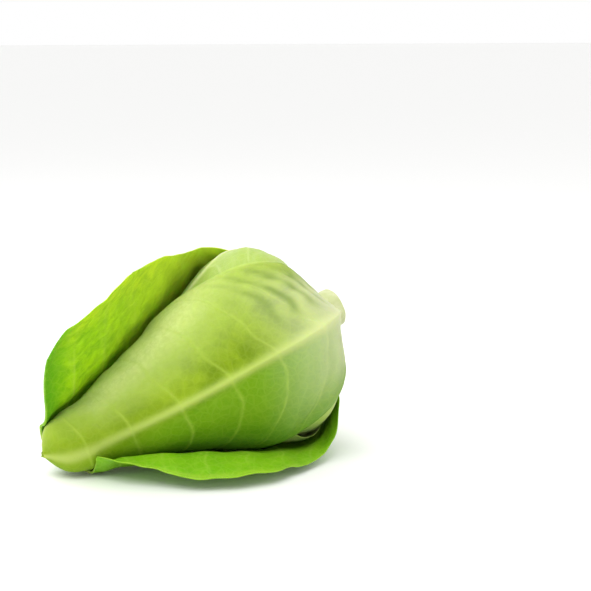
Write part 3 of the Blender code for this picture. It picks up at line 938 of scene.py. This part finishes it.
def makeStalkMaterial(look):
    made, tree, inputs = newMaterial("stalk")
    place = addNode(tree, "ShaderNodeTexCoord").outputs["Object"]
    patches = masked(tree, mottle, place, size=look["patchSize"], contrast=look["patchContrast"])
    specks = masked(tree, mottle, place, size=look["speckSize"], contrast=look["speckContrast"])
    skin = mixed(tree, patches, look["skin"], look["skinPatch"])
    cut = attribute(tree, "cut")  # 0 on the skin, up to 1 at the middle of the cut face
    face = mixed(tree, between(tree, cut, *look["barkTo"]), look["bark"], look["pith"])
    ring = times(tree, between(tree, cut, *look["ringFrom"]), between(tree, cut, *look["ringTo"], (1.0, 0.0)))
    face = mixed(tree, times(tree, ring, look["ringAmount"]), face, look["ring"])
    face = mixed(tree, times(tree, specks, look["speckAmount"]), face, look["speck"])
    colour = mixed(tree, between(tree, cut, *look["faceFrom"]), skin, face)
    tree.links.new(colour, inputs["Base Color"])
    inputs["Roughness"].default_value = look["roughness"]
    addBump(tree, inputs, specks, look["bump"], look["bumpDepth"])
    return made


def insetCutFace(piece):
    bpy.ops.object.mode_set(mode="EDIT")
    bpy.ops.mesh.select_mode(type="FACE")
    bpy.ops.mesh.select_all(action="DESELECT")
    bpy.ops.object.mode_set(mode="OBJECT")
    for face in piece.data.polygons:
        face.select = face.normal.z < -0.9
    bpy.ops.object.mode_set(mode="EDIT")
    for step in stalk["insets"]:
        bpy.ops.mesh.inset(thickness=step, use_even_offset=True)
    bpy.ops.mesh.select_mode(type="EDGE")
    bpy.ops.mesh.select_all(action="DESELECT")
    bpy.ops.object.mode_set(mode="OBJECT")


def ringSkin(piece):  # its long edges are cut into short ones
    for line in piece.data.edges:
        ends = [piece.data.vertices[index].co for index in line.vertices]
        line.select = abs(ends[0].z - ends[1].z) > 0.5 * stalk["coreLength"]
    bpy.ops.object.mode_set(mode="EDIT")
    bpy.ops.mesh.subdivide(number_cuts=stalk["rings"])
    bpy.ops.object.mode_set(mode="OBJECT")


def shapeStalk(piece):  # tapers the core, dishes the cut face, and leaves scars on the stump
    cut = piece.data.attributes.new("cut", "FLOAT", "POINT")
    for vert in piece.data.vertices:
        radius, turn, up = math.hypot(vert.co.x, vert.co.y), math.atan2(vert.co.y, vert.co.x), vert.co.z
        onFace = up < 1e-4 - stalk["cut"]
        cut.data[vert.index].value = 1 - radius / stalk["radius"] if onFace else 0.0
        if onFace:
            dish = stalk["dish"] * smoothStep((stalk["dishRadius"] - radius) / stalk["dishOver"])
            up += dish * (1 + stalk["dishUneven"] * noise.noise(vert.co * stalk["dishNoise"]))
            up -= stalk["lip"] * (1 if radius > stalk["lipFrom"] else 0)
        taper = np.interp(up, *zip(*stalk["taper"]))
        scars = 1 + stalk["scars"] * math.sin(stalk["scarLobes"] * turn + stalk["scarTwist"] * up)
        scars = scars + stalk["scars"] * noise.noise(vert.co * stalk["scarNoise"])
        scars = scars if up < 0 else 1.0
        vert.co = upright @ Vector((vert.co.x * taper * scars, vert.co.y * taper * scars, up))
    piece.data.update()


def makeStalk():
    bpy.ops.object.select_all(action="DESELECT")
    length = stalk["coreLength"] + stalk["cut"]
    bpy.ops.mesh.primitive_cylinder_add(vertices=stalk["segments"], radius=stalk["radius"], depth=length,
                                        location=(0, 0, length / 2 - stalk["cut"]))
    piece = bpy.context.object
    piece.name = piece.data.name = "stalk_stump"
    bpy.ops.object.transform_apply(location=True, rotation=True, scale=True)
    insetCutFace(piece)
    ringSkin(piece)
    shapeStalk(piece)
    bpy.ops.object.shade_smooth_by_angle(angle=stalk["smoothUnder"])
    piece.data.materials.append(makeStalkMaterial(stalkLook))
    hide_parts("stalk")
    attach(piece, "root")


heartPiece = makeHeart()
makeStalk()
print("heart and stalk done")
finishedTrees = [meshTree(heartPiece.data)]
for count, (leafName, leafSettings) in enumerate(leaves.items()):
    solids = cadTree(["stalk", "heart", *list(leaves)[:count]])
    leafPiece = makeLeaf(leafName, leafSettings, solids, finishedTrees)
    finishedTrees.append(meshTree(leafPiece.data))


studio = {
    "floor": (0.93, 0.93, 0.92, 1.0),
    "floorSize": 60.0,
    "floorDrop": 0.0002,
    "floorRoughness": 0.8,
    "world": 1.0,
    "lamps": {
        "key": {"place": (-0.75, -0.7, 1.25), "size": 1.0, "power": 15},
        "back": {"place": (-0.4, 0.8, 1.1), "size": 0.8, "power": 5},
    },
    "aim": (0, 0, 0.05),
}


def makeFloor():
    bpy.ops.mesh.primitive_plane_add(size=studio["floorSize"], location=(0, 0, -studio["floorDrop"]))
    floor = bpy.context.object
    floor.name = "floor"
    made, _, inputs = newMaterial("floor")
    inputs["Base Color"].default_value = studio["floor"]
    inputs["Roughness"].default_value = studio["floorRoughness"]
    floor.data.materials.append(made)


def addLamp(name, place, size, power):
    bpy.ops.object.light_add(type="AREA", location=place)
    lamp = bpy.context.object
    lamp.name = name
    lamp.data.size = size
    lamp.data.energy = power
    lamp.rotation_euler = (Vector(studio["aim"]) - Vector(place)).to_track_quat("-Z", "Y").to_euler()


def makeStudio():
    makeFloor()
    world = bpy.data.worlds.new("studio")
    bpy.context.scene.world = world
    world.use_nodes = True
    background = world.node_tree.nodes["Background"].inputs
    background["Color"].default_value = (1.0, 1.0, 1.0, 1.0)
    background["Strength"].default_value = studio["world"]
    for name, lamp in studio["lamps"].items():
        addLamp(name, **lamp)
    bpy.context.scene.view_settings.view_transform = "Standard"


view = {
    "azimuth": -28,
    "elevation": 13,
    "distance": 1.0,
    "target": (0, 0, 0.06),
    "lens": 90,
    "shift": (0.1785, 0.131),
}


def makeCamera():
    bpy.ops.object.camera_add()
    camera = bpy.context.object
    a, e = math.radians(view["azimuth"]), math.radians(view["elevation"])
    back = Vector((math.sin(a) * math.cos(e), -math.cos(a) * math.cos(e), math.sin(e)))
    camera.location = Vector(view["target"]) + back * view["distance"]
    camera.rotation_euler = (-back).to_track_quat("-Z", "Y").to_euler()
    camera.data.lens = view["lens"]
    camera.data.shift_x, camera.data.shift_y = view["shift"]
    bpy.context.scene.camera = camera


makeStudio()
makeCamera()
print("studio done")
